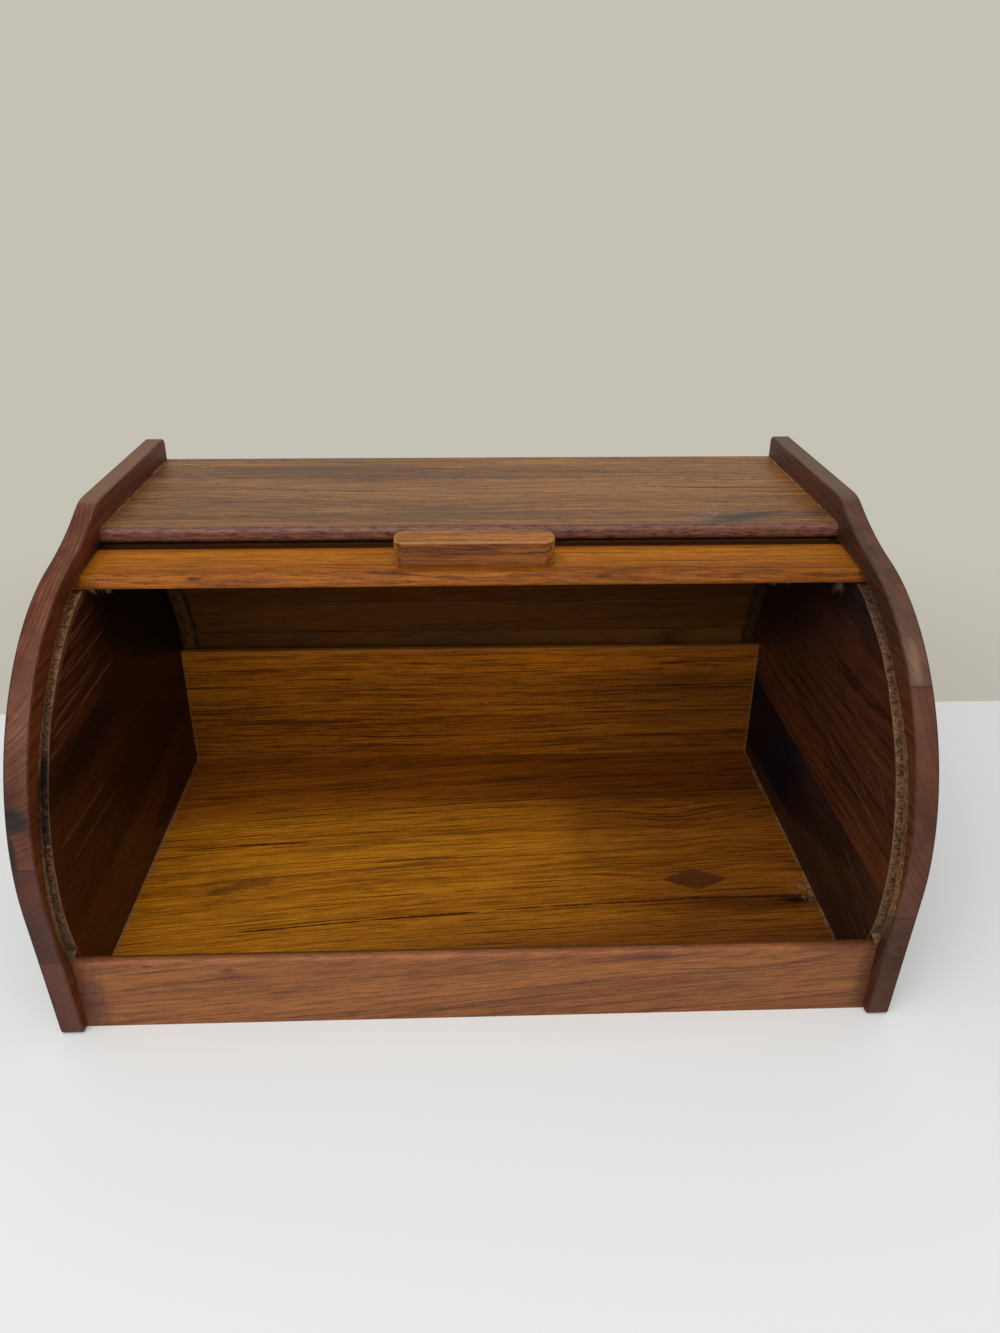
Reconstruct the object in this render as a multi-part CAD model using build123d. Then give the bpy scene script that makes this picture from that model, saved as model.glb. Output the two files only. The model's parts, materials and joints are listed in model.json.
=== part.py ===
from build123d import *
import os
from math import acos, asin, atan2, ceil, cos, degrees, hypot, radians, sin, sqrt

# Roll-top bread box in solid hardwood, in millimetres. X runs to the right, Y to the back and Z up.
# The origin lies on the table, under the middle of the box. The tambour is drawn rolled open.

# Overall size of the carcass
width = 400.0
depth = 275.5
height = 219.5
side_thickness = 10.5

# Outline of the sides
gallery_length = 126.5
gallery_rise = 13.4
shoulder_radius = 26.0
bow_shift = 15.3
bow_lift = 14.7
neck_slope = 9.7
foot_setback = 6.5
foot_radius = 3.0
gallery_corner_radius = 4.0
side_arris = 0.6

# Heights of the glue joints between the three boards of each side
left_joints = (48.5, 102.0)
right_joints = (65.5, 168.5)

# Fixed boards
top_thickness = 8.0
top_depth = 133.5
top_nose_radius = 3.0
floor_thickness = 6.0
rail_thickness = 6.0
rail_height = 39.6
rail_setback = 11.5
rail_front_arris = 2.5
rail_back_arris = 1.5
back_thickness = 6.0
inner_back_thickness = 5.0
inner_back_top = 87.7
inner_back_arris = 1.2
housing_depth = 4.0

# Diamond of darker wood let into the floor
patch_length = 38.0
patch_width = 20.0
patch_thickness = 2.0
patch_corner_radius = 5.0
patch_from_right = 64.5
patch_from_rail = 88.0

# Glued dowels, as a diameter and a length in each of the two pieces they join
top_dowel = 4.0
top_dowel_in_side = 6.0
top_dowel_in_top = 11.0
top_dowel_margin = 18.0
top_dowel_count = 3
rail_dowel = 3.0
rail_dowel_in_side = 6.0
rail_dowel_in_rail = 9.0
rail_dowel_margin = 11.0
inner_dowel = 2.4
inner_dowel_in_floor = 3.6
inner_dowel_in_back = 7.0
inner_dowel_margin = 40.0
inner_dowel_count = 2
glue_line = 0.1

# Tambour and the groove that it runs in
slat_width = 25.0
lead_width = 40.0
slat_thickness = 5.8
slat_gap = 0.4
slat_outer_arris = 2.0
slat_inner_arris = 0.4
nose_bevel_length = 4.0
nose_bevel_height = 4.8
groove_depth = 5.0
groove_clearance = 0.35
groove_end_clearance = 0.3
front_rim = 7.3
rear_rim = 16.5
top_clearance = 0.4
back_clearance = 0.7
slat_end_clearance = 0.5
open_reach = 36.8
closing_gap = 0.8
tail_cover = 10.0

# Cloth tapes glued across the inner faces of the slats
tape_width = 10.0
tape_thickness = 0.8
tape_from_side = 0.8
tape_setback = 2.5

# Handle and its two screws
handle_length = 79.0
handle_height = 14.0
handle_depth = 15.5
handle_from_nose = 7.5
handle_corner_radius = 5.5
handle_arris = 1.6
screw_spacing = 44.0
screw_shank = 3.0
screw_head = 6.0
screw_head_height = 1.8
screw_length = 15.0

# Places that follow from the sizes above
inner_x = width / 2 - side_thickness
front_y = -depth / 2
back_y = depth / 2
rail_front = front_y + rail_setback
rail_back = rail_front + rail_thickness
panel_front = back_y - back_thickness
top_face = height - gallery_rise
top_under = top_face - top_thickness
top_front = back_y - top_depth

# The groove is part of a circle that leaves a rim of wood at the front and at the back of the sides.
# The slats run round its axis. Their inner arrises lie on hinge_radius, the lines where the tapes bend.
half_slat = slat_width / 2
groove_outer = (depth - front_rim - rear_rim) / 2
corner_radius = groove_outer - groove_clearance
slat_distance = sqrt(corner_radius**2 - half_slat**2) - slat_thickness
hinge_radius = hypot(slat_distance, half_slat)
lead_distance = sqrt(hinge_radius**2 - (lead_width / 2) ** 2)
groove_inner = lead_distance - groove_clearance
axis_y = front_y + front_rim + groove_outer
axis_z = top_under - top_clearance - corner_radius

# Angles about that axis, counted in degrees from straight back, up and over to the front
slat_angle = 2 * degrees(asin(half_slat / hinge_radius))
lead_angle = 2 * degrees(asin(lead_width / 2 / hinge_radius))
open_edge = degrees(acos((top_front - open_reach - axis_y) / hinge_radius))
closed_edge = 180 + degrees(asin((axis_z - rail_height - closing_gap) / hinge_radius))
cover_angle = degrees(acos((top_front + tail_cover - axis_y) / hinge_radius))
slat_count = ceil((closed_edge - lead_angle - cover_angle) / slat_angle)
tail_edge = open_edge - lead_angle - slat_count * slat_angle
end_gap_angle = degrees(groove_end_clearance / hinge_radius)
travel = closed_edge - open_edge

# The inner back board stands just in front of the tapes, where they lean furthest forward behind it
top_angle = degrees(asin((inner_back_top - axis_z) / hinge_radius))
lean = cos(radians(max(abs(tail_edge), abs(top_angle))))
inner_back_rear = axis_y + slat_distance * lean - tape_thickness - back_clearance
inner_back_front = inner_back_rear - inner_back_thickness

axis = Axis((0, axis_y, axis_z), (1, 0, 0))
slat_length = 2 * (inner_x + groove_depth - slat_end_clearance)


def around_axis(angle, radius):
    """The point (y, z) at an angle and a distance from the axis of the tambour."""
    return axis_y + radius * cos(radians(angle)), axis_z + radius * sin(radians(angle))


def block(x, y, z):
    """A plain box between two values on each axis."""
    box = Box(x[1] - x[0], y[1] - y[0], z[1] - z[0])
    return Pos((x[0] + x[1]) / 2, (y[0] + y[1]) / 2, (z[0] + z[1]) / 2) * box


def bar(face, half_length):
    """A profile drawn in (y, z), carried both ways along X."""
    return extrude(Plane.YZ * face, amount=half_length, both=True)


def spread(first, last, count):
    """Evenly spaced places from first to last, both included."""
    return [first + (last - first) * i / (count - 1) for i in range(count)]


def near(shape, y, z):
    """The X edge of a board that passes closest to (y, z)."""
    edges = shape.edges().filter_by(Axis.X)
    return edges.sort_by(lambda edge: hypot(edge.center().Y - y, edge.center().Z - z))[0]


def x_dowel(diameter, outer_end, inner_end, y, z):
    """A round dowel along X between two distances from the middle, on the right side."""
    dowel = Rot(0, 90, 0) * Cylinder(diameter / 2, outer_end - inner_end)
    return Pos((outer_end + inner_end) / 2, y, z) * dowel


def both_ends(shapes):
    """The shapes and their mirror images at the other end of the box."""
    return shapes + [mirror(shape, about=Plane.YZ) for shape in shapes]


def top_dowels(extra=0.0):
    """Dowels between the ends of the top board and the sides."""
    z = top_face - top_thickness / 2
    ys = spread(top_front + top_dowel_margin, panel_front - top_dowel_margin, top_dowel_count)
    outer = inner_x + top_dowel_in_side + extra
    inner = inner_x - top_dowel_in_top - extra
    return both_ends([x_dowel(top_dowel + 2 * extra, outer, inner, y, z) for y in ys])


def rail_dowels(extra=0.0):
    """Dowels between the ends of the front rail and the sides."""
    y = rail_front + rail_thickness / 2
    zs = spread(rail_dowel_margin, rail_height - rail_dowel_margin, 2)
    outer = inner_x + rail_dowel_in_side + extra
    inner = inner_x - rail_dowel_in_rail - extra
    return both_ends([x_dowel(rail_dowel + 2 * extra, outer, inner, y, z) for z in zs])


def inner_back_dowels(extra=0.0):
    """Dowels that stand in the floor and locate the inner back board."""
    y = inner_back_front + inner_back_thickness / 2
    low = floor_thickness - inner_dowel_in_floor - extra
    high = floor_thickness + inner_dowel_in_back + extra
    xs = spread(inner_dowel_margin - inner_x, inner_x - inner_dowel_margin, inner_dowel_count)
    pin = Cylinder(inner_dowel / 2 + extra, high - low)
    return [Pos(x, y, (low + high) / 2) * pin for x in xs]


def side_outline():
    """Foot line tangent to the bow, the bow, the hollow neck, the shoulder and the flat gallery."""
    bow_y = axis_y - bow_shift
    bow_z = axis_z + bow_lift
    bow_radius = bow_y - front_y
    foot = (front_y + foot_setback, 0)
    to_foot = degrees(atan2(foot[1] - bow_z, foot[0] - bow_y)) % 360
    toe_angle = to_foot - degrees(acos(bow_radius / hypot(foot[0] - bow_y, foot[1] - bow_z)))
    neck_angle = 90 + neck_slope
    shoulder = (back_y - gallery_length, height)
    bow = CenterArc((bow_y, bow_z), bow_radius, toe_angle, neck_angle - toe_angle)
    uphill = (cos(radians(neck_slope)), sin(radians(neck_slope)))
    neck = TangentArc(bow @ 1, shoulder, tangent=uphill)
    rest = Polyline(shoulder, (back_y, height), (back_y, 0), foot, bow @ 0)
    face = make_face(Curve() + [bow, neck, rest])
    corner = face.vertices()
    face = fillet(corner.sort_by_distance(shoulder)[0], shoulder_radius)
    face = fillet(face.vertices().sort_by_distance((back_y, height))[0], gallery_corner_radius)
    return fillet(face.vertices().sort_by_distance(foot)[0], foot_radius)


def tambour_groove():
    """The stopped groove in the right side, an arc a little wider than the slats are thick."""
    start = tail_edge - end_gap_angle
    sweep = closed_edge + end_gap_angle - start
    outer = CenterArc((axis_y, axis_z), groove_outer, start, sweep)
    inner = CenterArc((axis_y, axis_z), groove_inner, start, sweep)
    face = make_face(Curve() + [outer, inner, Line(outer @ 0, inner @ 0), Line(outer @ 1, inner @ 1)])
    return Pos(inner_x, 0, 0) * extrude(Plane.YZ * face, amount=groove_depth)


def side_panel():
    """The right side in one piece: outline, eased arrises, groove, housings and dowel holes."""
    panel = Pos(inner_x, 0, 0) * extrude(Plane.YZ * side_outline(), amount=side_thickness)
    rims = panel.edges().group_by(Axis.X)
    panel = chamfer(rims[0] + rims[-1], side_arris)
    panel -= tambour_groove()
    panel -= floor_blank()
    panel -= back_panel()
    for hole in top_dowels(glue_line) + rail_dowels(glue_line):
        panel -= hole
    return panel


def boards(panel, joints):
    """The side panel cut along its glue joints, from the lowest board to the highest."""
    levels = [0.0, *joints, height]
    bands = zip(levels[:-1], levels[1:])
    return [panel & block((-width, width), (-depth, depth), band) for band in bands]


def top_board():
    """Shelf between the sides, with a rounded front edge and its dowel holes."""
    board = block((-inner_x, inner_x), (top_front, back_y), (top_under, top_face))
    board = fillet([near(board, top_front, top_face), near(board, top_front, top_under)], top_nose_radius)
    for hole in top_dowels(glue_line):
        board -= hole
    return board


def floor_blank():
    """The floor board, whose ends are housed in the sides."""
    reach = inner_x + housing_depth
    return block((-reach, reach), (rail_back, panel_front), (0.0, floor_thickness))


def patch():
    """The diamond, its two blunt corners rounded over."""
    x = inner_x - patch_from_right
    y = rail_back + patch_from_rail
    half_length = patch_length / 2
    half_width = patch_width / 2
    corners = [(-half_length, 0), (0, -half_width), (half_length, 0), (0, half_width)]
    face = make_face(Polyline(*corners, close=True))
    blunt = face.vertices().group_by(Axis.Y)[0] + face.vertices().group_by(Axis.Y)[-1]
    face = fillet(blunt, patch_corner_radius)
    return Pos(x, y, floor_thickness - patch_thickness) * extrude(face, amount=patch_thickness)


def floor_board():
    """The floor with the recess for the diamond and the holes for the inner back board."""
    board = floor_blank() - patch()
    for hole in inner_back_dowels(glue_line):
        board -= hole
    return board


def inner_back_board():
    """Low board that keeps the bread away from the tail of the tambour."""
    board = block(
        (-inner_x, inner_x), (inner_back_front, inner_back_rear), (floor_thickness, inner_back_top)
    )
    board = fillet(
        [near(board, inner_back_front, inner_back_top), near(board, inner_back_rear, inner_back_top)],
        inner_back_arris,
    )
    for hole in inner_back_dowels(glue_line):
        board -= hole
    return board


def back_panel():
    """Outer back, let into rabbets in the sides and covered by the top board."""
    reach = inner_x + housing_depth
    return block((-reach, reach), (panel_front, back_y), (0.0, top_under))


def front_rail():
    """Rail across the front of the floor, rounded along its top."""
    rail = block((-inner_x, inner_x), (rail_front, rail_back), (0.0, rail_height))
    rail = fillet(near(rail, rail_front, rail_height), rail_front_arris)
    rail = fillet(near(rail, rail_back, rail_height), rail_back_arris)
    for hole in rail_dowels(glue_line):
        rail -= hole
    return rail


def slat():
    """One narrow slat, drawn at the top of the axis."""
    y = half_slat - slat_gap / 2
    low = axis_z + slat_distance
    high = low + slat_thickness
    board = block((-slat_length / 2, slat_length / 2), (axis_y - y, axis_y + y), (low, high))
    board = fillet([near(board, axis_y - y, high), near(board, axis_y + y, high)], slat_outer_arris)
    return chamfer([near(board, axis_y - y, low), near(board, axis_y + y, low)], slat_inner_arris)


def lead_blank():
    """The wide front slat with its bevelled nose, drawn at the top of the axis."""
    nose = axis_y - lead_width / 2
    rear = axis_y + lead_width / 2 - slat_gap / 2
    low = axis_z + lead_distance
    high = low + slat_thickness
    bevel_foot = (nose, high - nose_bevel_height)
    bevel_top = (nose + nose_bevel_length, high)
    face = make_face(Polyline((nose, low), bevel_foot, bevel_top, (rear, high), (rear, low), close=True))
    board = bar(face, slat_length / 2)
    board = fillet([near(board, *bevel_foot), near(board, *bevel_top)], slat_inner_arris)
    return fillet(near(board, rear, high), slat_outer_arris)


def handle_at_top():
    """The handle, a block with rounded corners and eased edges that is glued and screwed down."""
    nose = axis_y - lead_width / 2
    middle = nose + handle_from_nose + handle_depth / 2
    seat = axis_z + lead_distance + slat_thickness
    plan = RectangleRounded(handle_length, handle_depth, handle_corner_radius)
    block_shape = extrude(plan, amount=handle_height)
    block_shape = fillet(block_shape.edges().group_by(Axis.Z)[-1], handle_arris)
    return Pos(0, middle, seat) * block_shape


def screws_at_top(extra=0.0):
    """Two countersunk screws through the front slat into the handle."""
    middle = axis_y - lead_width / 2 + handle_from_nose + handle_depth / 2
    low = axis_z + lead_distance
    shank = Cylinder(screw_shank / 2 + extra, screw_length + extra, align=(Align.CENTER, Align.CENTER, Align.MIN))
    head_top = screw_shank / 2 + extra
    head = Cone(screw_head / 2 + extra, head_top, screw_head_height, align=(Align.CENTER, Align.CENTER, Align.MIN))
    screw = shank + head
    return [Pos(x, middle, low) * screw for x in (-screw_spacing / 2, screw_spacing / 2)]


def lead_turn():
    """The turn that brings a piece drawn at the top to the place of the front slat."""
    return open_edge - lead_angle / 2 - 90


def tape_face():
    """The tape in section: one flat run on each slat, folded at the hinge lines."""
    edges = [open_edge, *[open_edge - lead_angle - i * slat_angle for i in range(slat_count + 1)]]
    points = [Vector(*around_axis(edge, hinge_radius)) for edge in edges]
    runs = [(after - before).normalized() for before, after in zip(points, points[1:])]
    points[0] += runs[0] * tape_setback
    points[-1] -= runs[-1] * tape_setback
    inward = [Vector(run.Y, -run.X) for run in runs]
    inner = [points[0] + inward[0] * tape_thickness]
    for point, before, after in zip(points[1:-1], inward, inward[1:]):
        inner.append(point + (before + after) * (tape_thickness / (1 + before.dot(after))))
    inner.append(points[-1] + inward[-1] * tape_thickness)
    return make_face(Polyline(*points, *reversed(inner), close=True)), sum(
        (after - before).length for before, after in zip(points, points[1:])
    )


def tape():
    """The right-hand cloth tape."""
    face, _ = tape_face()
    return Pos(inner_x - tape_from_side - tape_width, 0, 0) * extrude(Plane.YZ * face, amount=tape_width)


def save(name, solids):
    """One STEP file for each node."""
    shapes = solids if isinstance(solids, list) else [solids]
    shape = Compound(children=[part for shape in shapes for part in shape.solids()])
    if len(shape.solids()) == 1:
        shape = shape.solids()[0]
    export_step(shape, os.path.join("parts", name + ".step"))


def build_carcass():
    right = side_panel()
    left = mirror(right, about=Plane.YZ)
    for name, panel, joints in (("left", left, left_joints), ("right", right, right_joints)):
        for level, board in zip(("lower", "middle", "upper"), boards(panel, joints)):
            save(f"{name}_side_{level}_board", board)
    save("top_board", top_board())
    save("floor_board", floor_board())
    save("floor_patch", patch())
    save("inner_back_board", inner_back_board())
    save("back_panel", back_panel())
    save("front_rail", front_rail())
    save("top_board_dowels", top_dowels())
    save("rail_dowels", rail_dowels())
    save("inner_back_dowels", inner_back_dowels())


def build_tambour():
    lead = lead_blank()
    handle = handle_at_top()
    for hole in screws_at_top(glue_line):
        lead -= hole
        handle -= hole
    save("lead_slat", lead.rotate(axis, lead_turn()))
    save("handle", handle.rotate(axis, lead_turn()))
    save("handle_screws", [screw.rotate(axis, lead_turn()) for screw in screws_at_top()])
    for i in range(slat_count):
        angle = open_edge - lead_angle - (i + 0.5) * slat_angle
        save(f"slat_{i + 1:02d}", slat().rotate(axis, angle - 90))
    save("right_tape", tape())
    save("left_tape", mirror(tape(), about=Plane.YZ))


os.makedirs("parts", exist_ok=True)
build_carcass()
build_tambour()
print(f"tambour axis y {axis_y:.3f} z {axis_z:.3f}, hinge radius {hinge_radius:.3f}, slats {slat_count}")
print(f"travel {travel:.3f} degrees, open edge {open_edge:.2f}, closed edge {closed_edge:.2f}, tail {tail_edge:.2f}")
print(f"groove {groove_inner:.2f} to {groove_outer:.2f}, tape length {tape_face()[1]:.1f}")
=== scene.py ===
import json
from math import pi, radians

import bpy
import numpy as np
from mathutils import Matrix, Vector

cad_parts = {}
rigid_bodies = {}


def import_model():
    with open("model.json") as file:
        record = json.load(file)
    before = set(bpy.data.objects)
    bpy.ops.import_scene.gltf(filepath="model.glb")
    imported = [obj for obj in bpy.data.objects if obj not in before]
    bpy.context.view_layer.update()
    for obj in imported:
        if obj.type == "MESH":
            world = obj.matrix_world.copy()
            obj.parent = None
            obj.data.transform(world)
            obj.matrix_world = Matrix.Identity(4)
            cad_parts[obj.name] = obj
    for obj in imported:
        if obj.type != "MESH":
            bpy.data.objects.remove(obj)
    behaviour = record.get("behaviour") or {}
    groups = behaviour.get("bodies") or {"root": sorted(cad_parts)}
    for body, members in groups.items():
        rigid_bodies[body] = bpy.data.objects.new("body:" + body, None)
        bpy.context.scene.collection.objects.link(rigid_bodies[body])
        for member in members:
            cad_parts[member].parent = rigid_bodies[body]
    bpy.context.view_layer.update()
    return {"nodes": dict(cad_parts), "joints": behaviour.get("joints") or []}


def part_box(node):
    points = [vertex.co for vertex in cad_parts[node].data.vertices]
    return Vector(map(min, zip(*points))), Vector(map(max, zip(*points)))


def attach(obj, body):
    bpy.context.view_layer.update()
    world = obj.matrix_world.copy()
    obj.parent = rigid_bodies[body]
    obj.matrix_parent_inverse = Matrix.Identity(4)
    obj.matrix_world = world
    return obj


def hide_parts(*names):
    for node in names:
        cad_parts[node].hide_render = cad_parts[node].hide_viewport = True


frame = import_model()
scene = bpy.context.scene
scene.view_settings.view_transform = "Standard"

# The viewpoint: a lens held low above the mouth of the box and tipped down into it.
# Its frame is 1000 wide by 1333 high, and the sensor width belongs to the long side.
camera = bpy.data.objects.new("camera", bpy.data.cameras.new("camera"))
camera.location = (-0.0052, -0.4866, 0.3741)
camera.rotation_euler = (radians(63.174), radians(-0.271), radians(-2.085))
camera.data.sensor_width = 36.0
camera.data.lens = 27.09
scene.collection.objects.link(camera)
scene.camera = camera


# The room: a pale worktop that turns into a beige wall colour behind the box, under a wide soft lamp.
# None of it belongs to the box. The shader classes that every finish uses begin here.
class Value:
    """Something that varies over a surface. Arithmetic on it adds Math nodes to its node tree."""

    def __init__(self, nodes, socket):
        self.nodes = nodes
        self.socket = socket

    def math(self, operation, *others):
        return self.nodes.math(operation, self, *others)

    def __add__(self, other):
        return self.math("ADD", other)

    def __sub__(self, other):
        return self.math("SUBTRACT", other)

    def __rsub__(self, other):
        return self.nodes.math("SUBTRACT", other, self)

    def __mul__(self, other):
        return self.math("MULTIPLY", other)

    def __truediv__(self, other):
        return self.math("DIVIDE", other)

    def __abs__(self):
        return self.math("ABSOLUTE")

    __radd__ = __add__
    __rmul__ = __mul__

    def between(self, low, high):
        """0 up to low, 1 from high, and a smooth step from one to the other."""
        sockets = {"Value": self, "From Min": low, "From Max": high}
        return self.nodes.add("ShaderNodeMapRange", {"interpolation_type": "SMOOTHSTEP"}, sockets)

    def below(self, low, high):
        """1 up to low, 0 from high, and the same smooth step downwards."""
        return self.between(high, low)


class Nodes:
    """A node tree that is emptied and then written by calls."""

    def __init__(self, owner):
        self.owner = owner
        owner.use_nodes = True
        self.tree = owner.node_tree
        self.tree.nodes.clear()

    def add(self, kind, settings=None, sockets=None, output=0):
        """Any node: its type, its settings, and the values or links of its sockets by name or number."""
        node = self.tree.nodes.new(kind)
        for name, value in (settings or {}).items():
            setattr(node, name, value)
        for key, value in (sockets or {}).items():
            socket = node.inputs[key]
            if isinstance(value, Value):
                self.tree.links.new(value.socket, socket)
            elif socket.type == "RGBA":
                socket.default_value = (*value, 1.0)
            else:
                socket.default_value = value
        return Value(self, node.outputs[output]) if node.outputs else node

    def math(self, operation, *values):
        return self.add("ShaderNodeMath", {"operation": operation}, dict(enumerate(values)))

    def vector(self, operation, *values, output=0):
        return self.add("ShaderNodeVectorMath", {"operation": operation}, dict(enumerate(values)), output)

    def mix(self, share, first, second, blend="MIX"):
        """Two colours mixed by a share from 0 to 1."""
        settings = {"data_type": "RGBA", "blend_type": blend}
        return self.add("ShaderNodeMix", settings, {0: share, 6: first, 7: second}, 2)

    def parts(self, vector):
        """The X, Y and Z of a vector."""
        return [self.add("ShaderNodeSeparateXYZ", None, {0: vector}, i) for i in range(3)]

    def noise(self, vector, detail, roughness=0.5, output="Fac"):
        sockets = {"Vector": vector, "Scale": 1.0, "Detail": detail, "Roughness": roughness}
        return self.add("ShaderNodeTexNoise", None, sockets, output)

    def surface(self, sockets):
        """Ends the tree with a principled shader that has those values and links."""
        shader = self.add("ShaderNodeBsdfPrincipled", None, sockets)
        self.add("ShaderNodeOutputMaterial", None, {"Surface": shader})


wall_colour = (0.556, 0.533, 0.462)
table_colour = (0.82, 0.845, 0.86)
beyond_colour = (0.585, 0.56, 0.486)
light_colour = (1.0, 0.985, 0.96)
table_depth = 0.183
fade_start = 0.32
fade_end = 0.75
floor_radius = 6.0

world = bpy.data.worlds.new("room")
scene.world = world
room = Nodes(world)
seen = [room.add("ShaderNodeLightPath", output=name) for name in ("Is Camera Ray", "Is Glossy Ray")]
ambient = room.add("ShaderNodeBackground", None, {"Color": light_colour, "Strength": 0.44})
backdrop = room.add("ShaderNodeBackground", None, {"Color": wall_colour, "Strength": 1.0})
sky = room.add("ShaderNodeMixShader", None, {0: seen[0] + seen[1], 1: ambient, 2: backdrop})
room.add("ShaderNodeOutputWorld", None, {"Surface": sky})

floor_finish = Nodes(bpy.data.materials.new("pale_worktop"))
place = floor_finish.add("ShaderNodeTexCoord", output="Object")
to_wall = floor_finish.parts(place)[1].between(table_depth - 0.001, table_depth + 0.001)
pale = floor_finish.mix(to_wall, table_colour, beyond_colour)
worktop = floor_finish.add("ShaderNodeBsdfPrincipled", None, {"Base Color": pale, "Roughness": 0.55})
far_wall = floor_finish.add("ShaderNodeEmission", None, {"Color": wall_colour, "Strength": 1.0})
distance = floor_finish.vector("LENGTH", place, output="Value")
far = distance.between(fade_start, fade_end) * floor_finish.add("ShaderNodeLightPath", output="Is Camera Ray")
floor_finish.add(
    "ShaderNodeOutputMaterial", None,
    {"Surface": floor_finish.add("ShaderNodeMixShader", None, {0: far * to_wall, 1: worktop, 2: far_wall})},
)

ring_angles = np.linspace(0, 2 * pi, 65)[:-1]
ring_points = np.stack([np.cos(ring_angles), np.sin(ring_angles), np.zeros_like(ring_angles)], axis=1)
worktop_mesh = bpy.data.meshes.new("worktop")
worktop_mesh.from_pydata((floor_radius * ring_points).tolist(), [], [list(range(len(ring_angles)))])
worktop_mesh.materials.append(floor_finish.owner)
worktop_object = bpy.data.objects.new("worktop", worktop_mesh)
scene.collection.objects.link(worktop_object)

lamp = bpy.data.objects.new("ceiling_lamp", bpy.data.lights.new("ceiling_lamp", "AREA"))
lamp.data.shape = "RECTANGLE"
lamp.data.size = 1.8
lamp.data.size_y = 1.8
lamp.data.energy = 33.0
lamp.data.color = light_colour
lamp.location = (-0.3, -1.2, 1.6)
lamp.rotation_euler = (Vector((0.0, 0.0, 0.1)) - lamp.location).to_track_quat("-Z", "Y").to_euler()
scene.collection.objects.link(lamp)


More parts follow.
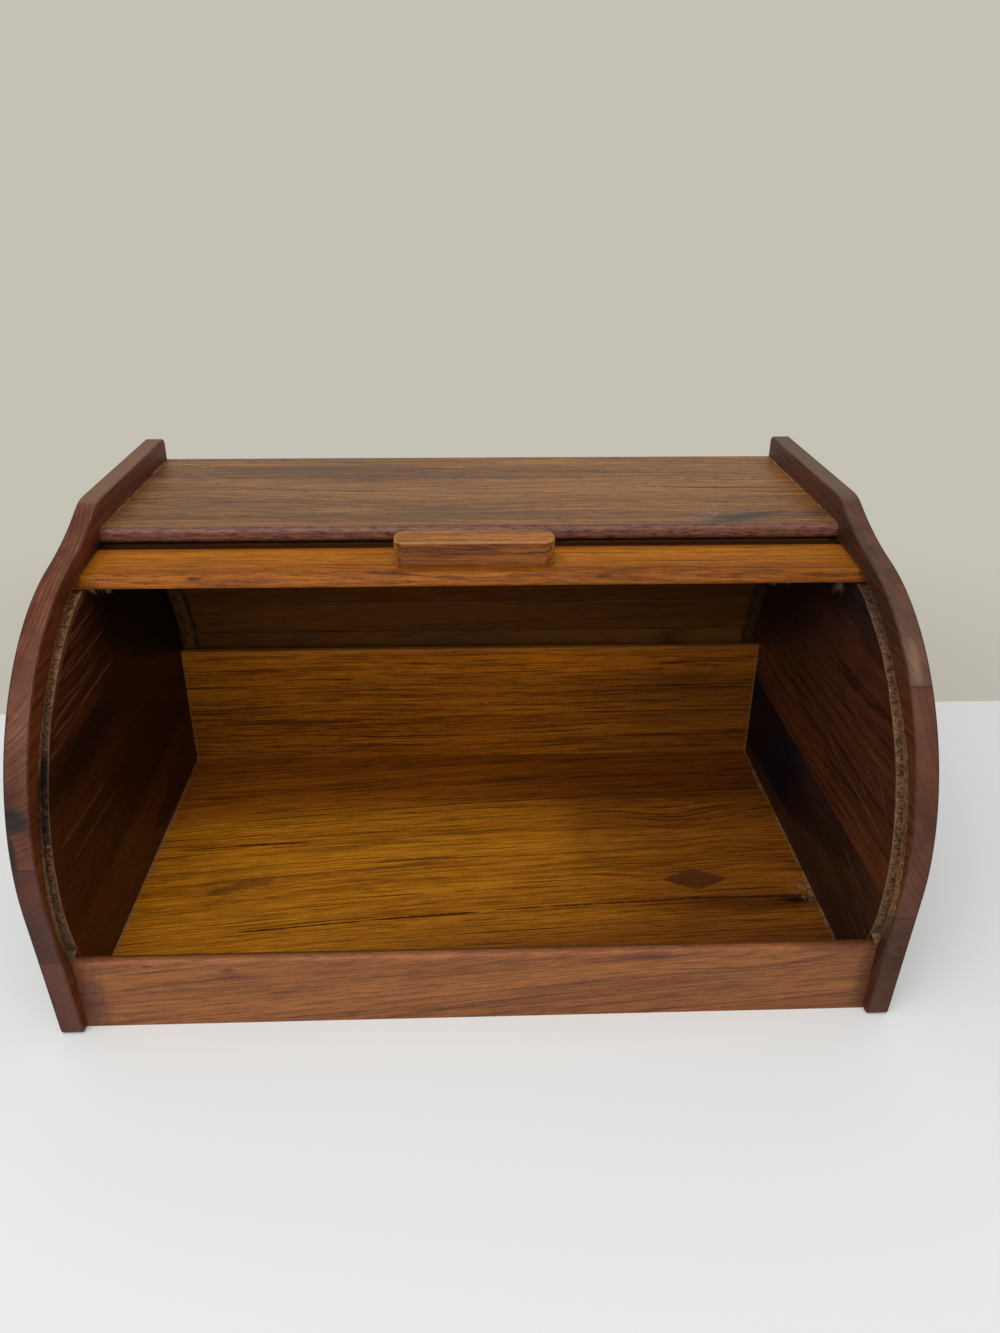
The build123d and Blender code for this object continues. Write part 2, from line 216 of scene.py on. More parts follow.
# Floor board: one wide board of golden hardwood, its grain along the box and curving a little across it.
# It is housed in the sides. Its finish brings in the class that every board of the box is painted with.
class Timber(Nodes):
    """The finish of one board, as growth rings round the heart of a log, cut by the board's faces.

    The distance from the heart, bent by slow noise, decides the ring. Streaks are noise stretched along the
    grain and narrow across the rings, so they run straight on a quartered face and arch on a flat one. A knot
    pushes the rings aside within an ellipsoid, so that the lines swing round it.
    """

    def __init__(self, name, pale, deep, dark, heart, tilt=(0, 0, 0), along="X", ring=0.0032, sway=0.006,
                 bow=0.0, knots=(), seed=0.0, band=0.4, late=0.5, lines=0.5, veins=0.0, streak=0.5, pores=0.4,
                 gloss=0.25):
        super().__init__(bpy.data.materials.new(name))
        self.seed = seed
        self.gloss = gloss
        self.place = self.add("ShaderNodeTexCoord", output="Object")
        self.x, self.y, self.z = self.parts(self.place)
        self.facing = [abs(n) for n in self.parts(self.add("ShaderNodeTexCoord", output="Normal"))]
        turn = tuple(radians(t) for t in tilt[:2]) + (radians(tilt[2] - (90 if along == "Y" else 0)),)
        log = self.add(
            "ShaderNodeMapping", None,
            {"Vector": self.place, "Rotation": turn, "Location": (seed, -heart[0], -heart[1])},
        )
        slow = self.noise(self.vector("MULTIPLY", log, (4.0, 16.0, 16.0)), 5.0, output="Color")
        bent = self.vector("MULTIPLY", self.vector("SUBTRACT", slow, (0.5, 0.5, 0.5)), (0, sway, sway))
        self.log = self.vector("ADD", log, bent)
        self.run, across, up = self.parts(self.log)
        length = self.x if along == "X" else self.y
        across = across + length * length * bow
        for centre, size, push in knots:
            across = across + self.reach(centre, size).below(0.0, 1.0) * push
        self.radius = (across * across + up * up).math("SQRT")

        wander = self.grain(0.35, 0.012, 1.0)
        turns = self.radius / ring + wander * 3.0
        self.share = turns.math("FRACT")
        strength = self.add(
            "ShaderNodeTexWhiteNoise", {"noise_dimensions": "1D"}, {"W": turns.math("FLOOR") + seed}, "Value"
        )
        broken = self.grain(0.055, 0.004, 2.0).between(0.38, 0.6)
        late_wood = self.share.between(0.4, 0.93) * self.share.below(0.95, 1.0) * strength * broken
        broad = self.grain(0.45, 0.017, 2.0).between(0.34, 0.66)
        narrow = self.grain(0.055, 0.0012, 2.0).between(0.42, 0.62)
        hair = self.noise(self.vector("MULTIPLY", self.log, (26, 950, 950)), 2.0).between(0.46, 0.64)
        self.fibre = self.noise(self.vector("MULTIPLY", self.log, (75, 1300, 1300)), 3.0, 0.65)
        dash = self.noise(self.vector("MULTIPLY", self.log, (120, 1300, 1300)), 2.0, 0.55)
        self.pore = dash.between(0.56, 0.66) * (0.5 + 0.5 * self.share)

        tone = broad * band + late_wood * late + (narrow * 0.5 + hair * 0.5) * lines + (self.fibre - 0.5) * 2.2
        self.colour = self.mix(tone / (band + late * 0.5 + lines * 0.8), pale, deep)
        self.tint(late_wood.between(0.15, 0.55) * veins, dark)
        self.tint(self.grain(0.1, 0.001, 2.0).between(0.6, 0.67) * streak, dark)
        self.tint(self.pore * pores, dark)
        self.roughness = 0.44 + (self.fibre - 0.5) * 0.16 + self.pore * 0.2
        self.height = (self.fibre - 0.5) * 0.5 - self.pore * 0.8 - late_wood * 0.25

    def grain(self, long, wide, detail):
        """Noise whose blotches are as long along the grain, and as wide across the rings, as given."""
        spot = self.add(
            "ShaderNodeCombineXYZ", None,
            {"X": self.run / long, "Y": self.radius / wide, "Z": self.seed + 31.0 * wide / long},
        )
        return self.noise(spot, detail)

    def blotches(self, per_metre, detail, roughness=0.5):
        """Noise with that many blotches to the metre, in all directions or along each axis."""
        if not isinstance(per_metre, tuple):
            per_metre = (per_metre,) * 3
        return self.noise(self.vector("MULTIPLY", self.place, per_metre), detail, roughness)

    def tint(self, share, colour):
        """Mixes a colour over the wood where share is above 0."""
        self.colour = self.mix(share, self.colour, colour)

    def shade(self, share, factor):
        """Multiplies the wood's colour by a factor where share is above 0."""
        self.colour = self.mix(share, self.colour, factor, blend="MULTIPLY")

    def reach(self, centre, size, turn=(0, 0, 0), ragged=0.0):
        """Distance from a point as a share of the ellipsoid of that size and turn, broken up by noise."""
        turn = tuple(radians(t) for t in turn)
        sockets = {"Vector": self.place, "Location": centre, "Rotation": turn, "Scale": size}
        local = self.add("ShaderNodeMapping", {"vector_type": "TEXTURE"}, sockets)
        away = self.vector("LENGTH", local, output="Value")
        if not ragged:
            return away
        rough = self.noise(self.vector("MULTIPLY", local, (3.0, 3.0, 3.0)), 3.0, 0.6)
        return away + (rough - 0.5) * ragged * 2

    def spot(self, centre, size, soft=0.5, ragged=0.5, turn=(0, 0, 0)):
        """A ragged ellipsoid round a point, 1 inside and fading out: for stains, nicks and worn places."""
        return self.reach(centre, size, turn, ragged).below(1 - soft, 1 + soft)

    def line(self, start, end, width, ragged):
        """A broken line from start to end, 1 along its middle and 0 past its width: for cracks and scratches."""
        span = Vector(end) - Vector(start)
        gone = self.vector("SUBTRACT", self.place, start)
        share = self.vector("DOT_PRODUCT", gone, tuple(span / span.length_squared), output="Value")
        share = self.add("ShaderNodeClamp", None, {0: share})
        off = self.vector("SUBTRACT", gone, self.vector("MULTIPLY", share, tuple(span)))
        away = self.vector("LENGTH", off, output="Value")
        torn = self.blotches(320, 2.0, 0.6)
        taper = (share * (1 - share)).between(0.0, 0.14) * 0.6 + 0.4
        return (away / taper + (torn - 0.5) * width * 2 * ragged).below(width * 0.35, width)

    def marks(self, axis, level, strokes, ragged, depth, colour):
        """Tints lines in the plane where that axis has that level. Their starts, ends and widths are in mm."""
        for *ends, width in strokes:
            ends = [[part / 1000 for part in point] for point in ends]
            ends = [(*point[:axis], level, *point[axis:]) for point in ends]
            self.tint(self.line(*ends, width / 1000, ragged) * depth, colour)

    def cover(self, *nodes):
        """Joins the shader up and gives it to the CAD nodes named."""
        relief = self.add("ShaderNodeBump", None, {"Strength": 0.6, "Distance": 0.00012, "Height": self.height})
        self.surface({
            "Base Color": self.colour, "Roughness": self.roughness, "Specular IOR Level": self.gloss,
            "Normal": relief,
        })
        for name in nodes:
            for slot in bpy.data.objects[name].material_slots:
                slot.material = self.owner


inner_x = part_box("top_board")[1].x
floor_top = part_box("floor_board")[1].z

floor = Timber(
    "golden_floor", pale=(0.52, 0.201, 0.011), deep=(0.19, 0.0575, 0.004), dark=(0.035, 0.01, 0.002),
    heart=(0.42, -0.1), tilt=(0, 0, -4.6), ring=0.0046, bow=0.15, seed=3.1, late=0.3, lines=1.0, veins=0.15,
    streak=0.75, gloss=0.12,
    knots=(
        ((0.125, 0.024, floor_top), (0.055, 0.024, 0.02), 0.008),
        ((0.15, 0.0, floor_top), (0.035, 0.02, 0.02), -0.005),
        ((0.112, -0.03, floor_top), (0.05, 0.02, 0.02), 0.004),
    ),
)
# Painted shade: the back of the floor, under the top board, is darker behind a bent line.
curve = floor.x * 0.09 - floor.x * floor.x * 0.149
behind = floor.y - curve + (floor.grain(0.08, 0.006, 2.0) - 0.5) * 0.004
back_shade_zone = behind.between(0.0465, 0.049) * 0.5 + behind.between(0.044, 0.07) * 0.5
floor.shade(back_shade_zone * 0.9, (0.56, 0.41, 0.5))
# Painted sheen: lighter to the left of a soft line near x = 5 cm, darker to its right.
sheen_edge = (floor.x + (floor.grain(0.05, 0.004, 2.0) - 0.5) * 0.012).between(0.046, 0.066)
floor.shade(sheen_edge * (1 - back_shade_zone) * floor.y.between(-0.06, 0.01) * 0.55, (0.62, 0.55, 0.75))
# Painted shade: the right half of the floor and the middle of its back are darker.
floor.shade(floor.x.between(-0.01, 0.16) * (1 - floor.y.between(0.07, 0.1) * 0.62) * 0.85, (0.56, 0.48, 0.7))
floor.shade(floor.x.between(-0.02, 0.07) * floor.y.between(0.03, 0.055) * 0.45, (0.62, 0.52, 0.75))
# Painted shade on three patches to the right and front, painted light on two patches to the left.
for centre, size, soft, ragged, depth, factor in (
    ((0.14, -0.04), (0.065, 0.011), 0.8, 0.5, 0.6, (0.6, 0.52, 0.75)),
    ((0.05, 0.06), (0.12, 0.012), 0.9, 0.5, 0.5, (0.66, 0.58, 0.8)),
    ((0.02, -0.045), (0.08, 0.009), 0.9, 0.5, 0.5, (0.66, 0.58, 0.8)),
    ((-0.155, 0.008), (0.048, 0.018), 0.9, 0.4, 0.9, (1.35, 1.3, 1.1)),
    ((-0.176, -0.056), (0.024, 0.032), 0.9, 0.4, 0.9, (1.35, 1.3, 1.1)),
):
    floor.shade(floor.spot((*centre, floor_top), (*size, 0.01), soft, ragged) * depth, factor)
# Painted light in the left back corner.
corner = floor.x.below(-0.175, -0.05) * floor.y.between(0.02, 0.06)
floor.shade(corner * 0.9, (1.45, 1.5, 1.2))
# Painted shade along the front of the floor, behind the rail.
floor.shade(floor.y.below(-0.085, -0.04) * floor.x.between(-0.14, 0.02) * 0.9, (0.55, 0.47, 0.92))
edge_line = abs(floor.y - curve - 0.0475).below(0.0002, 0.001)
floor.tint(edge_line * floor.x.between(-0.16, -0.12) * 0.75, (0.03, 0.008, 0.002))
dark_patch = floor.spot((0.156, -0.054, floor_top), (0.06, 0.0075, 0.01), 0.8, 0.7, (0, 0, 2))
floor.shade(dark_patch * 0.85, (0.3, 0.24, 0.4))
cracks = [
    ((-128, -69), (-58, -61.5), 0.8), ((-58, -61.5), (1, -56.8), 1.1), ((10, -55.3), (36, -53.6), 0.7),
    ((40, -53.6), (65.5, -52), 0.8), ((65.5, -52), (115.5, -49.5), 0.9), ((113, -48.8), (186.5, -48.3), 1.3),
    ((-145, 6.3), (-100, 9.4), 1.3), ((-175, 2.5), (-140, 6.8), 0.6),
]
floor.marks(2, floor_top, cracks, 0.8, 0.88, (0.02, 0.006, 0.002))
thin_lines = [
    ((-170, -94), (-60, -86)), ((-140, 23.5), (-75, 32.5)), ((-60, -68.5), (-38, -66.5)),
    ((-10, -64), (12, -62.5)), ((90, -21), (118, -18)), ((126, -14), (150, -15)), ((-110, 13), (-40, 20)),
    ((-90, -45), (-30, -40)), ((20, -33), (70, -30)), ((-120, 70), (-20, 78)), ((0, 66), (90, 72)),
    ((-80, -99), (30, -94)),
]
floor.marks(2, floor_top, [(*ends, 0.7) for ends in thin_lines], 0.9, 0.6, (0.04, 0.011, 0.003))
floor.tint(floor.spot((0.179, -0.052, floor_top), (0.0105, 0.0024, 0.01), 0.6, 0.8), (0.01, 0.005, 0.003))
red_band = [((-150, -37), (-116, -24), 5), ((-116, -24), (2, -11), 2.2)]
floor.marks(2, floor_top, red_band, 0.6, 0.5, (0.1, 0.03, 0.0055))
speckle = floor.blotches(420, 3.0, 0.75)
wide_dust = floor.blotches(38, 2.0).between(0.35, 0.75)
beside_wall = (inner_x - abs(floor.x) - wide_dust * 0.0022).below(0.0003, 0.0016)
floor.tint(beside_wall * speckle.between(0.38, 0.62) * 0.65, (0.2, 0.145, 0.105))
fuzz = floor.spot((0.185, -0.0435, floor_top), (0.0055, 0.01, 0.01), 0.8, 0.5, (0, 0, 20))
floor.tint(fuzz * speckle.between(0.5, 0.62) * 0.6, (0.3, 0.23, 0.16))
floor.cover("floor_board")


# Diamond: a small patch of darker, plainer wood let into the floor near its right end.
# It is glued in, planed flush and oiled with the board.
patch = Timber(
    "dark_diamond", pale=(0.115, 0.036, 0.008), deep=(0.062, 0.018, 0.004), dark=(0.022, 0.007, 0.003),
    heart=(-0.3, -0.05), tilt=(0, 0, 6), ring=0.002, seed=8.4, band=0.3, lines=0.4, streak=0.15, gloss=0.15,
)
patch.cover("floor_patch")


# Front rail: a plain red-brown board across the foot of the mouth, its top rounded over by hand.
# Flat-sawn, so its grain slants up to the right and arches out over the rounded top.
rail_middle = -0.126
rail_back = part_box("front_rail")[1].y
rounding = 0.0355, 0.0385

rail = Timber(
    "red_rail", pale=(0.312, 0.112, 0.031), deep=(0.13, 0.042, 0.0125), dark=(0.05, 0.014, 0.008),
    heart=(-0.03, -0.1), tilt=(0, 5.6, 0), ring=0.0034, seed=12.7, band=0.5, late=0.35, lines=0.7,
    veins=0.2, streak=0.45, gloss=0.22,
    knots=(
        ((0.128, rail_middle, 0.031), (0.055, 0.02, 0.01), -0.005),
        ((-0.119, rail_middle, 0.033), (0.016, 0.02, 0.006), 0.003),
    ),
)
rail_top = rail.z.between(*rounding)
rail_rear_shadow = rail.y.between(rail_back - 0.0032, rail_back - 0.0018) * rail_top
rail.tint(rail_top * 0.3, (0.32, 0.105, 0.042))
rail.shade(rail_top * rail.fibre.between(0.52, 0.66) * 0.35, (0.45, 0.38, 0.45))
for (x, z), (wide, high), ragged, depth, colour in (
    ((0.079, 0.0365), (0.013, 0.0016), 0.7, 0.75, (0.075, 0.022, 0.022)),
    ((-0.1187, 0.0335), (0.0035, 0.0012), 0.7, 0.7, (0.07, 0.02, 0.016)),
    ((-0.156, 0.037), (0.0022, 0.0007), 0.7, 0.7, (0.07, 0.02, 0.016)),
    ((-0.186, 0.016), (0.0085, 0.019), 0.8, 0.65, (0.055, 0.014, 0.016)),
    ((0.188, 0.018), (0.005, 0.02), 0.8, 0.6, (0.055, 0.014, 0.013)),
):
    rail.tint(rail.spot((x, rail_middle, z), (wide, 0.008, high), 0.7, ragged) * depth, colour)
rail.shade(rail_top * rail.x.between(0.14, 0.175) * 0.8, (0.38, 0.34, 0.36))
rail.shade(rail_top * rail.x.below(-0.18, -0.15) * 0.5, (0.62, 0.58, 0.58))
# Painted shadow along the back of the rounded top, where the rail meets the floor.
rail.tint(rail_rear_shadow * 0.82, (0.06, 0.024, 0.007))
rail.cover("front_rail")


# Inner back board: a low golden board across the back of the compartment, its grain in long low waves.
# It stands on the floor on short dowels, and the tail of the tambour hangs behind it.
inner_back = Timber(
    "golden_inner_back", pale=(0.53, 0.185, 0.008), deep=(0.15, 0.043, 0.003), dark=(0.035, 0.009, 0.002),
    heart=(-0.12, -0.42), tilt=(0, 1.0, 0), ring=0.0042, sway=0.011, seed=17.9, band=0.65, late=0.45, lines=0.85,
    veins=0.3, streak=0.85, gloss=0.12,
)
# Painted shade low on the board near the floor, and on its right half.
foot = inner_back.z.below(0.024, 0.058)
inner_back.shade(foot * (0.3 + 0.7 * inner_back.x.between(-0.17, -0.07)) * 0.66, (0.66, 0.56, 0.7))
inner_back.shade(inner_back.x.between(0.02, 0.16) * (1 - foot * 0.3) * 0.9, (0.48, 0.46, 1.1))
inner_back_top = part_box("inner_back_board")[1].z
inner_back_front = 0.104
# Painted light along an upper strip, strongest just right of the middle.
inner_back.shade(inner_back.z.between(0.062, 0.074) * 0.8, (1.22, 1.18, 1.0))
inner_back.shade(inner_back.z.between(0.062, 0.072) * inner_back.x.between(0.0, 0.05) * 0.5, (1.4, 1.3, 1.1))
# Painted shade on a patch at mid height, right of the middle.
right_shade_patch = inner_back.spot((0.08, inner_back_front, 0.05), (0.12, 0.01, 0.012), 0.8)
inner_back.shade(right_shade_patch * 0.5, (0.66, 0.6, 0.8))
end_dust = inner_back.blotches(420, 3.0, 0.75)
beside_end = (inner_x - abs(inner_back.x)).below(0.0006, 0.0018)
inner_back.tint(beside_end * end_dust.between(0.42, 0.6) * 0.5, (0.26, 0.17, 0.09))
inner_back.tint(inner_back.z.between(inner_back_top - 0.0022, inner_back_top - 0.0006) * 0.5, (0.32, 0.15, 0.03))
long_lines = [
    ((-12, 46.8), (46, 47.4), 1.625), ((58, 46.8), (130, 47.6), 1.625), ((125, 47.4), (188, 46.6), 1.5),
    ((50, 53), (85, 54), 1.25), ((-168, 30), (-45, 29), 1.25), ((-26, 29.2), (6, 28.8), 1.625),
    ((53, 76.8), (128, 78), 1.25), ((-48, 54.2), (-16, 54.6), 1.375), ((85, 33), (188, 32.5), 1.25),
    ((-182, 61.2), (-130, 60.6), 1.25), ((-90, 68), (10, 70.5), 1.125), ((-150, 42), (-70, 41.2), 1.25),
]
inner_back.marks(1, inner_back_front, long_lines, 0.9, 0.85, (0.035, 0.009, 0.002))
inner_back.marks(1, inner_back_front, [((147, 46.8), (150, 50), 0.5)], 0.2, 0.8, (0.55, 0.42, 0.26))
inner_back.marks(1, inner_back_front, [((164, 84), (176, 84.5), 0.7)], 0.8, 0.6, (0.5, 0.36, 0.2))
inner_back.cover("inner_back_board")


# Outer back: a wide plain board in rabbets in the sides, behind the tail of the tambour.
# It reaches up to the underside of the top board and closes the box from behind.
back = Timber(
    "brown_back", pale=(0.3, 0.118, 0.038), deep=(0.165, 0.058, 0.018), dark=(0.06, 0.019, 0.007),
    heart=(-0.1, -0.12), tilt=(0, 1.5, 0), ring=0.0045, seed=23.3, band=0.5, lines=0.6, streak=0.4,
)
back.cover("back_panel")


# Sides: each one is three boards glued edge to edge, grain from front to back, sawn to the bowed outline.
# The groove for the slats is routed into the inner face and left bare, so it is pale, rough and torn.
axis_y, axis_z = frame["joints"][0]["pos_m"][1:]
groove_inner = 0.1177
groove_outer = 0.12585
groove_depth = 0.005
bare_wood = (0.3, 0.16, 0.074)
bare_shadow = (0.05, 0.026, 0.013)


def routed_groove(side, lip, stained=None):
    """The bare groove by its distance from the tambour's axis: torn fibres, cutter marks and a worn lip."""
    out_y, out_z = side.y - axis_y, side.z - axis_z
    reach = (out_y * out_y + out_z * out_z).math("SQRT")
    inside = (abs(side.x) - inner_x).between(0.00012, 0.0004)
    within = (reach - groove_inner).between(-0.0004, -0.0001) * (groove_outer - reach).between(-0.0004, -0.0001)
    shallow = (inner_x + groove_depth - abs(side.x)).between(-0.0004, -0.0002)
    groove = inside * within * shallow
    angle = out_z.math("ARCTAN2", out_y)
    around = side.add("ShaderNodeCombineXYZ", None, {"X": reach * 1500, "Y": angle * 75, "Z": abs(side.x) * 700})
    torn = side.noise(around, 4.0, 0.75)
    patches = side.blotches(400, 4.0, 0.7)
    marks = (angle * (groove_outer / 0.0021 * 2 * pi) + reach * 1500 + patches * 22.0).math("SINE") * 0.07
    bare = side.mix((torn * 1.7 + patches * 1.1 + marks - 1.0).between(0.12, 0.72), bare_shadow, bare_wood)
    if stained:
        low, high, depth = stained
        where = side.z.between(low - 0.004, low) * side.z.below(high, high + 0.004)
        bare = side.mix(where * depth, bare, (0.009, 0.012, 0.01))
        under = side.z.between(0.096, 0.104) * side.z.below(low - 0.004, low)
        bare = side.mix(under * patches.below(0.5, 0.66) * 0.75, bare, (0.03, 0.015, 0.014))
    low_end = side.z.below(0.03, 0.085)
    bare = side.mix(low_end * 0.18, bare, (0.36, 0.26, 0.17))
    past_lip = reach - groove_outer
    wide = 0.0006 + side.z.below(0.135, 0.172) * lip + (patches - 0.5) * 0.0012
    worn_band = side.inside * past_lip.between(-0.0002, 0.0001) * (past_lip - wide).below(-0.0003, 0.0003)
    worn_band = worn_band * side.z.between(0.042, 0.07)
    side.colour = side.mix(groove * 0.94 + worn_band * 0.85, side.colour, bare)
    side.roughness = side.roughness + groove * 0.35
    side.height = side.height * (1 - groove) + groove * (marks * 3.0 + torn * 2.2)
    worn = side.blotches(60, 2.0).between(0.3, 0.55)
    lips = [abs(reach - at).below(0.0002, 0.0006) for at in (groove_outer + 0.0001, groove_inner - 0.0001)]
    side.tint((lips[0] * 0.4 + lips[1] * 0.75) * worn * (1 - inside), bare_wood)
    side.groove = groove
    side.from_axis = reach
    side.beyond = side.inside * (past_lip - wide).between(0.0002, 0.0012)


def side_board(name, seed, heart, tilt, pale, deep, dark, edge_pale, edge_deep, joints, rim, lip, ring=0.0028,
               stained=None, hairlines=0.0, gloss=0.2):
    """One board of a side: wood, sawn edge, paler outer face, arrises, painted shade on the outer rim, glue lines
    and groove.
    """
    side = Timber(
        name, pale=pale, deep=deep, dark=dark, heart=heart, tilt=tilt, along="Y", ring=ring, seed=seed,
        band=0.5, late=0.35, lines=0.8, veins=0.35, streak=0.7, gloss=gloss,
    )
    edge = side.facing[0].below(0.25, 0.5)
    flat_face = side.facing[0].between(0.85, 0.96)
    outer = abs(side.x).between(0.196, 0.198)
    side.inside = flat_face * (1 - outer)
    side.shade(flat_face * outer, tuple(0.85 * e / p for e, p in zip(edge_pale, pale)))
    stripes = side.grain(0.06, 0.0007, 2.0).between(0.36, 0.64)
    mottle = side.blotches((60, 60, 38), 4.0, 0.65).between(0.3, 0.7)
    sawn = side.mix(stripes * 0.35 + mottle * 0.5 + (side.fibre - 0.5) * 0.3, edge_deep, edge_pale)
    if hairlines:
        ridge = abs(side.share - 0.5).below(0.03, 0.14)
        sawn = side.mix(ridge * mottle * hairlines, sawn, (0.3, 0.135, 0.092))
    side.colour = side.mix(edge, side.colour, sawn)
    side.roughness = side.roughness + edge * 0.08
    side.shade(edge * abs(side.x).between(0.1905, 0.1985) * 0.5, (0.84, 0.66, 0.55))
    # Painted shade: a thin dark line along the outer rim of the sawn edge.
    side.shade(edge * abs(side.x).between(0.1988, 0.1996) * 0.75, (0.2, 0.16, 0.16))
    turned = side.facing[0].between(0.12, 0.45)
    arris = turned * (1 - flat_face)
    side.tint(arris * (1 - outer) * mottle * 0.45, edge_pale)
    # Painted shade over the outer arris.
    side.shade(arris * outer * 0.9, (0.2, 0.17, 0.19))
    for joint in joints:
        glue = abs(side.z - joint).below(0.0002, 0.0007)
        side.tint(glue * 0.55, (0.028, 0.011, 0.008))
    routed_groove(side, lip, stained)
    side.tint(side.beyond * 0.75, side.mix(stripes, rim, tuple(0.5 * part for part in rim)))
    return side


left_joints, right_joints = (
    [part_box(f"{side}_side_{level}_board")[1].z for level in ("lower", "middle")] for side in ("left", "right")
)
red_dark = (0.008, 0.0025, 0.0012)
left_side = {"joints": left_joints, "rim": (0.195, 0.043, 0.012), "lip": 0.0024}
right_side = {"joints": right_joints, "rim": (0.134, 0.043, 0.018), "lip": 0.0042}

left_upper = side_board(
    "left_upper", 31.2, (0.23, 0.2), (-1.5, 0, 0), (0.088, 0.018, 0.0034), (0.021, 0.0041, 0.0011), red_dark,
    (0.185, 0.064, 0.029), (0.074, 0.019, 0.008), **left_side, ring=0.0024, stained=(0.1275, 0.1355, 0.9),
    hairlines=0.5,
)
# Painted shadow: the upper back of the inner face, under the top board, goes nearly black above a slanting line.
above_line = left_upper.z + left_upper.y * 0.475 + (left_upper.grain(0.05, 0.004, 3.0) - 0.5) * 0.02
within_box = left_upper.inside * left_upper.z.below(0.195, 0.206)
upper_shadow = above_line.between(0.134, 0.147) * left_upper.y.between(-0.036, 0.002) * within_box
left_upper.shade(upper_shadow * 0.97, (0.07, 0.07, 0.14))
# The top face of the gallery is greyer: partly weathering, partly painted sheen.
gallery_top = left_upper.facing[2].between(0.5, 0.8) * left_upper.y.between(0.006, 0.012)
left_upper.tint(gallery_top * 0.6, (0.185, 0.108, 0.064))
# Painted shade, deeper towards the back inside the box.
left_upper.shade(left_upper.y.between(-0.08, 0.02) * within_box * 0.82, (0.36, 0.3, 0.35))
dark_streak = left_upper.spot((-inner_x, -0.058, 0.119), (0.006, 0.062, 0.0125), 0.6, 0.5)
left_upper.shade(dark_streak * 0.95, (0.14, 0.13, 0.2))
left_end = left_upper.inside * left_upper.z.between(0.148, 0.166)
end_wear = left_end * (left_upper.from_axis - groove_inner).between(-0.0042, -0.0022)
end_wear = end_wear * (left_upper.from_axis - groove_inner).below(-0.0002, 0.0001)
left_upper.tint(end_wear * (0.45 + left_upper.fibre * 0.4), (0.105, 0.066, 0.032))
left_upper.shade(left_upper.z.below(0.128, 0.165) * left_upper.inside * 0.4, (0.68, 0.62, 1.0))
left_upper.shade(left_upper.z.below(0.138, 0.165) * (1 - left_upper.facing[0]) * 0.8, (0.8, 0.83, 0.95))
left_upper.shade(left_upper.groove * left_upper.z.between(0.15, 0.172), (1.8, 1.7, 1.5))
sawn_lines = left_upper.grain(0.045, 0.0007, 2.0).between(0.56, 0.64) * left_upper.y.below(-0.07, -0.015)
left_upper.tint(sawn_lines * left_upper.z.between(0.126, 0.136) * within_box * 0.5, (0.17, 0.056, 0.022))
front_edge_y = -0.1345
for (x, z), (wide, high) in (((-0.1972, 0.124), (0.0066, 0.0052)), ((-0.2, 0.109), (0.0031, 0.01))):
    stain = left_upper.spot((x, front_edge_y, z), (wide, 0.03, high), 0.45, 0.4)
    left_upper.tint(stain * 0.93, (0.013, 0.012, 0.013))
above_stain = left_upper.spot((-0.199, front_edge_y, 0.133), (0.0045, 0.03, 0.006), 0.7, 0.6)
left_upper.shade(above_stain * 0.7, (0.4, 0.35, 0.5))
pale_streaks = [
    ((-74, 160), (-15, 159), 0.7), ((-72, 151), (-35, 149), 0.6), ((-62, 140), (-11, 140), 0.9),
    ((-91, 148), (-59, 147), 0.7), ((-62, 174), (-23, 174), 0.7), ((-69, 172), (-40, 172), 0.6),
    ((-94, 142), (-68, 141), 0.8), ((-78, 162), (-57, 162), 0.6),
]
left_upper.marks(0, -inner_x, pale_streaks, 0.9, 0.5, (0.19, 0.08, 0.048))
left_upper.cover("left_side_upper_board")

left_middle = side_board(
    "left_middle", 33.8, (0.26, 0.16), (4, 0, 0), (0.057, 0.0112, 0.0014), (0.0135, 0.0027, 0.0005), red_dark,
    (0.108, 0.036, 0.023), (0.04, 0.014, 0.01), **left_side,
)
low_stain = left_middle.spot((-0.2005, -0.136, 0.1), (0.003, 0.03, 0.006), 0.7)
left_middle.tint(low_stain * 0.6, (0.025, 0.016, 0.018))
# Painted shade, deeper towards the back inside the box.
left_middle.shade(left_middle.y.between(-0.085, 0.06) * left_middle.inside * 0.9, (0.36, 0.28, 0.32))
# Painted shadow, continuing the slanting line from the board above.
low_shadow = (left_middle.z + left_middle.y * 0.475).between(0.134, 0.147) * left_middle.inside
left_middle.shade(low_shadow * 0.97, (0.07, 0.07, 0.14))
red_streaks = [((-110, 94), (-50, 90), 2.2), ((-100, 80), (-40, 77), 1.4)]
left_middle.marks(0, -inner_x, red_streaks, 0.9, 0.5, (0.12, 0.038, 0.01))
left_middle.cover("left_side_middle_board")

left_lower = side_board(
    "left_lower", 36.1, (0.23, 0.02), (2, 0, 0), (0.095, 0.027, 0.005), (0.032, 0.0075, 0.0016), red_dark,
    (0.128, 0.044, 0.025), (0.056, 0.02, 0.013), **left_side,
)
# Painted shade, deeper towards the back inside the box.
left_lower.shade(left_lower.y.between(-0.06, 0.09) * left_lower.inside * 0.7, (0.5, 0.42, 0.42))
left_lower.cover("left_side_lower_board")

right_upper = side_board(
    "right_upper", 41.5, (-0.33, 0.3), (-2, 0, 0), (0.044, 0.0185, 0.0155), (0.015, 0.0068, 0.0072), red_dark,
    (0.166, 0.086, 0.057), (0.078, 0.036, 0.025), **right_side,
)
worn_edge = right_upper.spot((0.1938, -0.104, 0.1765), (0.0021, 0.03, 0.0058), 0.8, 0.6)
right_upper.tint(worn_edge * 0.42, (0.3, 0.18, 0.095))
above_top = right_upper.z.between(0.195, 0.206)
right_upper.shade(right_upper.z.between(0.18, 0.195) * (1 - right_upper.facing[0]) * 0.5, (0.8, 0.7, 0.68))
